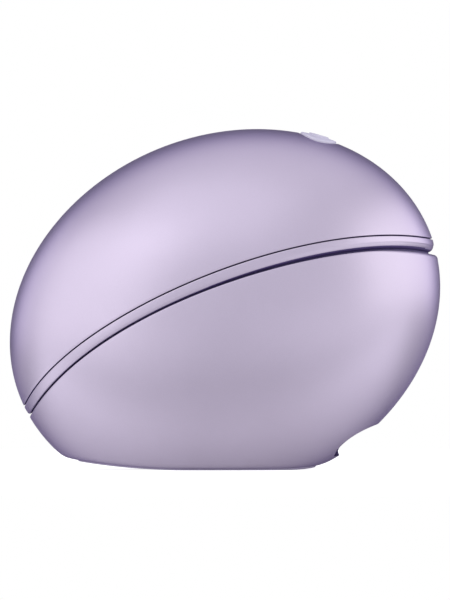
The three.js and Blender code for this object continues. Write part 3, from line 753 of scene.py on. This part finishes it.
def lower_shell():
    """From the treatment plate's recess up to the groove and the tongue that stands behind it."""
    rim_radius, rim_steps, shoulder_steps = 0.15, 3, 8
    to_inlet = inlet_frame().inverted()
    u, v = egg_axes(Vector((BEZEL["x"], 0, BEZEL["proud"])) - EGG["centre"])
    patch = Patch(
        Vector((u / EGG["a"], 0, v / EGG["b"])),
        body_point,
        lambda ball: plate_oval(body_point(ball), BEZEL["gap"]),
        lambda ball: above_groove(ball, -1),
        around=320,
    )
    ceiling = BEZEL["thick"] + BEZEL["gap"]
    lamp_top, lamp_bottom, recess_top = [], [], []
    for k, turn in enumerate(patch.starts):
        rim = patch.at(k, turn)
        away = Vector((rim.x - BEZEL["x"], rim.y)).normalized()
        reach = rounded_rectangle_reach(away, **LAMP_OPENING)
        x, y = BEZEL["x"] + away.x * reach, away.y * reach
        lamp_top.append(Vector((x, y, base_height(x) + INNER_FLOOR)))
        lamp_bottom.append(Vector((x, y, base_height(x) + ceiling)))
        recess_top.append(Vector((rim.x, rim.y, base_height(rim.x) + ceiling)))
    rim_roll, first = patch.roll(patch.starts, rim_radius, rim_steps, 1)
    edge_roll, last = patch.roll(patch.ends, shoulder_roll, shoulder_steps, -1)
    rows = [patch.loop(between(first, last, part)) for part in spaced(110)]
    tongue_top = [
        patch.crossing(k, lambda ball: above_groove(ball, -1) - TONGUE["rise"], turn)
        for k, turn in enumerate(patch.ends)
    ]
    inner_rows = []
    for part in spaced(50):
        turns = between(patch.ends, patch.starts, part)
        inner_rows.append([inner_point(patch.ball(k, turn), to_inlet) for k, turn in enumerate(turns)])
    outer, inner = TONGUE["outer"], TONGUE["inner"]
    return woven([
        lamp_top, lamp_bottom, recess_top, *rim_roll, *rows, *reversed(edge_roll),
        patch.loop(patch.ends, outer), patch.loop(tongue_top, outer), patch.loop(tongue_top, inner),
        patch.loop(patch.ends, inner), *inner_rows,
    ])


def quadratic(start, middle, end):
    """Points along a quadratic curve, the first left out."""
    count = 12
    points = []
    for i in range(1, count + 1):
        t = i / count
        weights = ((1 - t) ** 2, 2 * t * (1 - t), t * t)
        points.append(tuple(sum(w * p[k] for w, p in zip(weights, (start, middle, end))) for k in (0, 1)))
    return points


# Outlines of (x, z) points: the scoop at the rear, and the two notches behind its lip.
SCOOP = [
    (34.0, 10.15),
    *quadratic((34.0, 10.15), (28.3, 8.2), (25.35, 5.1)),
    *quadratic((25.35, 5.1), (24.6, 4.3), (25.3, 3.1)),
    (40, -8), (46, 6),
]
LIP_NOTCH = [(24.75, 4.6), (24.0, 2.95), (25.8, 3.2)]
NOTCH_START = 1.8  # how far aside the notches begin
inlet = inlet_frame()


def lower_shell_cutters():
    past, depth, notch_end = 40, 8, 30
    return [
        prism_along_y(SCOOP, -past, past),
        turned([(INLET["channel"], -depth), (INLET["channel"], depth)], inlet, 72),
        prism_along_y(LIP_NOTCH, -notch_end, -NOTCH_START),
        prism_along_y(LIP_NOTCH, NOTCH_START, notch_end),
    ]


def paint_notch_shade(piece):
    """Painted shade: every face on or within the two notches' outline gets the dark gap material, to stand
    for the shade inside them.
    """
    (x0, z0), (x1, z1), (x2, z2) = LIP_NOTCH
    slack = 0.01
    for face in piece.data.polygons:
        x, y, z = face.center / MM
        left = (x - x0) * (z1 - z0) - (z - z0) * (x1 - x0) < 2 * slack
        floor = (x - x1) * (z2 - z1) - (z - z1) * (x2 - x1) < 2 * slack
        if left and floor and x < x2 and z < z0 + slack and abs(y) > NOTCH_START - slack:
            face.material_index = 1


lower_skin = finish_piece(
    "lower_shell_skin", cut(lower_shell(), lower_shell_cutters()), paint, "casing", "lilac_shell",
    ["lower_shell"],
)
paint_gap_shade(lower_skin)
paint_notch_shade(lower_skin)


# ------------------------------------------------------------------ button
def egg_height(x, y, proud):
    """Height of the egg, grown by proud, over a point of the button's frame."""
    matrix = button_frame()

    def in_ball(way):
        u, v = egg_axes(way)
        return Vector((u / (EGG["a"] + proud), way.y / (EGG["w"] + proud), v / (EGG["b"] + proud)))

    start = in_ball(matrix @ Vector((x, y, 0)) - EGG["centre"])
    way = in_ball(matrix.to_3x3() @ Vector((0, 0, 1)))
    a, b, c = way.dot(way), 2 * start.dot(way), start.dot(start) - 1
    return (-b + math.sqrt(b * b - 4 * a * c)) / (2 * a)


# "open" is half the angle of the ring's gap. The bar starts "bar_from" off the middle.
SYMBOL = {
    "radius": 1.75, "half": 0.3, "open": 0.62, "bar_from": 0.35, "bar": 1.5, "height": 0.26, "edge": 0.22,
}
# Half x, half y and height of the pad's stem and flange, from the bottom up.
PAD_PROFILE = [
    (1.5, 1.5, -6.4), (1.5, 1.5, -5.4), (5.0, 7.2, -5.4), (5.2, 7.4, -5.2),
    (5.2, 7.4, -4.7), (5.0, 7.2, -4.5), (BUTTON["half_x"], BUTTON["half_y"], -4.5),
]


def symbol_height(x, y):
    """A raised open ring with a short bar in its gap, which points to the front."""
    angle = math.atan2(y, -x)
    ring = abs(math.hypot(x, y) - SYMBOL["radius"])
    if abs(angle) < SYMBOL["open"]:
        tip = SYMBOL["open"]
        end = Vector((-math.cos(tip), math.sin(tip))) * SYMBOL["radius"]
        ring = (Vector((x, abs(y))) - end).length
    along = min(max(-x, SYMBOL["bar_from"]), SYMBOL["bar_from"] + SYMBOL["bar"])
    bar = math.hypot(-x - along, y)
    inside = SYMBOL["half"] + SYMBOL["edge"] - min(ring, bar)
    return SYMBOL["height"] * smooth(inside / SYMBOL["edge"])


def button_pad():
    matrix = button_frame()
    sides, rings, edge = 128, 40, 0.35
    half_x, half_y = BUTTON["half_x"], BUTTON["half_y"]

    def oval(grow_x, grow_y, height):
        loop = []
        for angle in round_angles(sides):
            x, y = grow_x * math.cos(angle), grow_y * math.sin(angle)
            loop.append(matrix @ Vector((x, y, height(x, y) if callable(height) else height)))
        return loop

    def top(inset):
        """Height over the oval shrunk by inset: a rounded edge, then the domed top and its symbol."""
        drop = edge - math.sqrt(max(edge ** 2 - (edge - min(inset, edge)) ** 2, 0))

        def height(x, y):
            return egg_height(x, y, BUTTON["proud"]) - drop + symbol_height(x, y)

        return height

    loops = [oval(*row) for row in PAD_PROFILE]
    for inset in (0.0, 0.02, 0.06, 0.12, 0.2, 0.28, edge):
        loops.append(oval(half_x - inset, half_y - inset, top(inset)))
    for part in spaced(rings):
        scale = 1 - part
        loops.append(oval((half_x - edge) * scale, (half_y - edge) * scale, top(edge)))
    return woven(loops, capped=True)


new_piece("button_pad", *button_pad(), silicone, "button", "button_silicone", ["button_cap"])


# ------------------------------------------------------------------ treatment plate
def treatment_plate():
    """An oval plate round the window, its edges rolled and its window edge chamfered."""
    sides, roll, roll_steps, top = 192, 0.35, 6, BEZEL["thick"]
    # How far outside the window, and how high over the lower face.
    window_edge = [(0, top), (0, 0.55), (0.12, 0.25), (0.35, 0.06), (0.6, 0.0)]

    def outer(inset, rise):
        loop = []
        for angle in round_angles(sides):
            x = BEZEL["x"] + (BEZEL["half_x"] - inset) * math.cos(angle)
            loop.append(Vector((x, (BEZEL["half_y"] - inset) * math.sin(angle), base_height(x) + rise)))
        return loop

    def inner(grow, rise):
        loop = []
        for angle in round_angles(sides):
            x, y = BEZEL["half_x"] * math.cos(angle), BEZEL["half_y"] * math.sin(angle)
            away = Vector((x, y)).normalized()
            reach = rounded_rectangle_reach(
                away, WINDOW["x"] / 2 + grow, WINDOW["y"] / 2 + grow, WINDOW["corner"] + grow,
            )
            x = BEZEL["x"] + away.x * reach
            loop.append(Vector((x, away.y * reach, base_height(x) + rise)))
        return loop

    loops = [inner(*row) for row in window_edge]
    first, last = loops[-1], outer(roll, 0.0)
    for part in spaced(14):
        loop = []
        for a, b in zip(first, last):
            point = a.lerp(b, part)
            point.z = base_height(point.x)
            loop.append(point)
        loops.append(loop)
    for i in range(roll_steps + 1):
        angle = math.pi / 2 * i / roll_steps
        loops.append(outer(roll * (1 - math.sin(angle)), roll * (1 - math.cos(angle))))
    loops.append(outer(0, top))
    return woven(loops)


SENSOR = {"x": BEZEL["x"] + 22.6, "hole": 1.5 + 0.3}  # the hole's radius leaves room round the sensor
sensor_hole = turned(
    [(SENSOR["hole"], -3), (SENSOR["hole"], 9)], Matrix.Translation((SENSOR["x"], 0, 0)), 48,
)
finish_piece(
    "treatment_plate", cut(treatment_plate(), [sensor_hole]), plate_metal, "casing", "treatment_bezel",
    ["treatment_bezel"],
)
FILTER = {"x": 33.4, "y": 16.4, "corner": 1.2, "low": 1.8, "high": 3.6, "bevel": 0.3}


def filter_window():
    """A round-cornered slab of glass with bevelled edges."""
    sides, low, high, bevel = 96, FILTER["low"], FILTER["high"], FILTER["bevel"]

    def loop(inset, z):
        points = []
        for angle in round_angles(sides):
            away = Vector((FILTER["x"] * math.cos(angle), FILTER["y"] * math.sin(angle))).normalized()
            reach = rounded_rectangle_reach(
                away, FILTER["x"] / 2 - inset, FILTER["y"] / 2 - inset, FILTER["corner"] - inset,
            )
            points.append(Vector((BEZEL["x"] + away.x * reach, away.y * reach, z)))
        return points

    return woven([
        loop(bevel, low), loop(bevel * 0.3, low + bevel * 0.3), loop(0, low + bevel),
        loop(0, high - bevel), loop(bevel * 0.3, high - bevel * 0.3), loop(bevel, high),
    ], capped=True)


new_piece("filter_window", *filter_window(), filter_glass, "casing", "window_glass", ["window_glass"])


# ------------------------------------------------------------------ power inlet
def jack_body():
    """A round-cornered block with a chamfered barrel hole and a hole for the centre pin."""
    sides = 72
    low, high, bore, pin = -14.2, -3.5, 3.1, 1.3
    half_x, half_y, corner, edge = 4.5, 5.0, 0.6, 0.2
    hole_floor = low + 1.8

    def square(inset, z):
        points = []
        for angle in round_angles(sides):
            away = Vector((math.cos(angle), math.sin(angle)))
            reach = rounded_rectangle_reach(away, half_x - inset, half_y - inset, corner)
            points.append(inlet @ Vector((away.x * reach, away.y * reach, z)))
        return points

    def circle(radius, z):
        return turned_loop(radius, z, inlet, sides)

    return woven([
        circle(pin, low), square(edge, low), square(0, low + edge), square(0, high - edge),
        square(edge, high), circle(bore + 0.5, high), circle(bore + 0.15, high - 0.25),
        circle(bore, high - 0.6), circle(bore, hole_floor), circle(pin, hole_floor),
    ])


new_piece("jack_body", *jack_body(), black, "casing", "black_plastic", ["power_inlet"])
PIN = [(0.8, -15.8), (1.0, -15.5), (1.0, -5.1), (0.93, -4.7), (0.7, -4.38), (0.35, -4.22)]
new_piece("jack_pin", *turned(PIN, inlet, 40), brass, "casing", "brass", ["inlet_pin"])


# ------------------------------------------------------------------ camera
# In metres, but for the sensor: its distance, the width it sees and the height it aims at.
CAMERA = {"distance": 3.0, "width": 0.0994, "height": 0.03744, "sensor": 36.0}
low_corner, high_corner = Vector(cad_box[0]), Vector(cad_box[1])
aim = Vector(((low_corner.x + high_corner.x) / 2, 0, CAMERA["height"]))
camera_data = bpy.data.cameras.new("camera")
camera_data.sensor_fit = "HORIZONTAL"
camera_data.sensor_width = CAMERA["sensor"]
camera_data.lens = CAMERA["sensor"] * CAMERA["distance"] / CAMERA["width"]
camera_data.clip_start = 0.01
camera_data.clip_end = 20
camera = bpy.data.objects.new("camera", camera_data)
camera.location = aim + Vector((0, -CAMERA["distance"], 0))
camera.rotation_euler = (math.pi / 2, 0, 0)
bpy.context.scene.collection.objects.link(camera)
bpy.context.scene.camera = camera


# ------------------------------------------------------------------ light and floor
# Lengths are in metres in this section, but for the floor's radius.
LIT_POINT = Vector((0, 0, 0.035))
# Name, azimuth, elevation, distance, width, height, power and colour.
SOFTBOXES = (
    ("left_softbox", -64, 20, 0.7, 0.95, 0.80, 1.55, (1.0, 0.99, 0.955)),
    ("right_softbox", 90, 12, 0.7, 0.95, 0.75, 1.95, (1.0, 0.99, 0.935)),
    ("front_top_softbox", -20, 54, 0.8, 0.85, 0.6, 0.66, (1, 1, 1)),
    ("top_softbox", 180, 84, 0.8, 1.15, 0.7, 0.48, (1, 1, 1)),
    ("left_wrap", -122, 16, 0.8, 0.45, 0.5, 0.34, (1, 1, 1)),
    ("right_wrap", 130, 10, 0.8, 0.40, 0.45, 0.26, (1, 1, 1)),
)


def softbox(name, azimuth, elevation, distance, width, height, power, colour):
    """A rectangular area light that faces the object."""
    data = bpy.data.lights.new(name, "AREA")
    data.shape = "RECTANGLE"
    data.size = width
    data.size_y = height
    data.energy = power
    data.color = colour
    light = bpy.data.objects.new(name, data)
    turn, lift = math.radians(azimuth), math.radians(elevation)
    away = Vector((
        math.sin(turn) * math.cos(lift), -math.cos(turn) * math.cos(lift), math.sin(lift),
    ))
    light.location = LIT_POINT + away * distance
    light.rotation_euler = away.to_track_quat("Z", "Y").to_euler()
    bpy.context.scene.collection.objects.link(light)


for each_box in SOFTBOXES:
    softbox(*each_box)

# From the front (0) to the back (1).
WORLD_STOPS = [
    (0.0, (0.88, 0.87, 0.92)), (0.5, (0.82, 0.80, 0.86)), (0.77, (0.72, 0.69, 0.80)),
    (0.85, (0.46, 0.42, 0.64)), (0.91, (0.06, 0.045, 0.22)), (0.96, (0.015, 0.010, 0.09)),
]


def studio_world():
    """White to the camera. To everything else, bright in front and dim purple behind."""
    world = bpy.data.worlds.new("studio")
    bpy.context.scene.world = world
    world.use_nodes = True
    tree = world.node_tree
    direction = add_node(tree, "ShaderNodeTexCoord").outputs["Generated"]
    parts = add_node(tree, "ShaderNodeSeparateXYZ", {"Vector": direction})
    depth = add_node(tree, "ShaderNodeMapRange", {"Value": parts.outputs["Y"], "From Min": -1})
    around = add_ramp(tree, depth.outputs["Result"], WORLD_STOPS)
    seen = add_node(tree, "ShaderNodeLightPath").outputs["Is Camera Ray"]
    mix = add_node(
        tree, "ShaderNodeMix", {"Factor": seen, "A": around, "B": (1, 1, 1, 1)}, data_type="RGBA",
    )
    tree.links.new(mix.outputs["Result"], tree.nodes["Background"].inputs["Color"])


studio_world()
bpy.context.scene.view_settings.view_transform = "Standard"

# The floor's glow in reflections: by the distance aside it is dimmer under the object than beside
# it, and FLOOR_FADE goes from the front to the back.
FLOOR_GLOW = {"From Min": 0.012, "From Max": 0.085, "To Min": 0.38, "To Max": 0.88}
FLOOR_FADE = ((0.0, 0.65), (0.20, 0.35), (0.44, 1.0), (0.57, 0.80), (0.78, 0.06))
FLOOR_DEPTH = {"From Min": -0.08, "From Max": 0.04}
FLOOR_SEEN = 0.86  # its glow to the camera
FLOOR_MIDDLE = 0.005  # the x from which the distance aside is taken


def floor_material():
    """Even and pale to the camera. In reflections it glows as the constants above say."""
    nodes = Nodes("pale_floor")
    seen = nodes.add("ShaderNodeLightPath").outputs["Is Camera Ray"]
    place = nodes.add("ShaderNodeSeparateXYZ", {"Vector": nodes.place})
    offset = nodes.add("ShaderNodeMath", {0: place.outputs["X"], 1: FLOOR_MIDDLE}, operation="SUBTRACT")
    aside = nodes.add("ShaderNodeMath", {0: offset.outputs["Value"]}, operation="ABSOLUTE")
    wide = nodes.add("ShaderNodeMapRange", {"Value": aside.outputs["Value"], **FLOOR_GLOW})
    along = nodes.add("ShaderNodeMapRange", {"Value": place.outputs["Y"], **FLOOR_DEPTH})
    fade = nodes.ramp(along.outputs["Result"], *FLOOR_FADE)
    glow = nodes.add("ShaderNodeMath", {0: wide.outputs["Result"], 1: fade}, operation="MULTIPLY")
    lit = nodes.add(
        "ShaderNodeMix", {"Factor": seen, "A": glow.outputs["Value"], "B": FLOOR_SEEN}, data_type="FLOAT",
    )
    nodes.set(
        base_color=nodes.ramp(nodes.noise(60.0), (0.3, (0.49, 0.49, 0.50)), (0.7, (0.51, 0.51, 0.515))),
        roughness=0.8,
        emission_color=(1, 1, 1, 1),
        emission_strength=lit.outputs["Result"],
    )
    return nodes.material


def pale_floor():
    """A wide round floor, so that no edge shows."""
    sides, radius = 96, 400
    ring = [(radius * math.cos(angle), radius * math.sin(angle), 0) for angle in round_angles(sides)]
    mesh = raw_mesh("floor", ring, [tuple(range(sides))])
    mesh.materials.append(floor_material())
    floor = bpy.data.objects.new("floor", mesh)
    bpy.context.scene.collection.objects.link(floor)


pale_floor()
